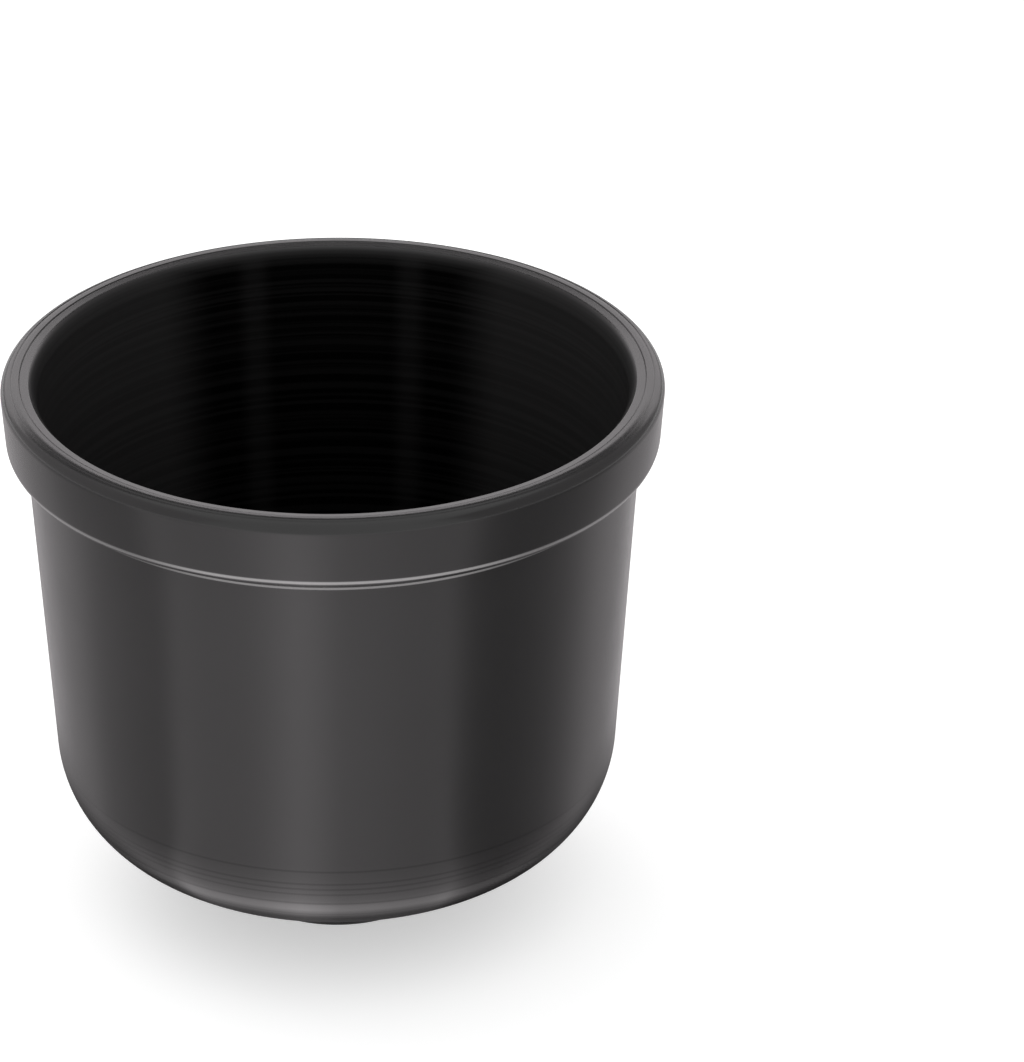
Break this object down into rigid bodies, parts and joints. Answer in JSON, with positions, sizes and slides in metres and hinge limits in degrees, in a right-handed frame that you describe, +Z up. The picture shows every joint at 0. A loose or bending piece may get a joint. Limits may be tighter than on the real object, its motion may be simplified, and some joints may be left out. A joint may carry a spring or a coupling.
{
  "type": "cup holder",
  "caption": "Round one-piece plastic cup holder for a car seat, with a thick rim band, a tapered body and a twist-lock boss under its flat base.",
  "frame": {"origin": "centre of the boss's end face, the lowest point of the part", "axes": "+Z up along the cup's axis, X along the two lock ears, the front of the picture is seen looking along +Y"},
  "size_m": [0.1004, 0.1004, 0.0878],
  "materials": {
    "black_plastic": "satin moulded plastic, fine grain on the base"
  },
  "bodies": {
    "root": {"cup": "black_plastic"}
  },
  "joints": []
}
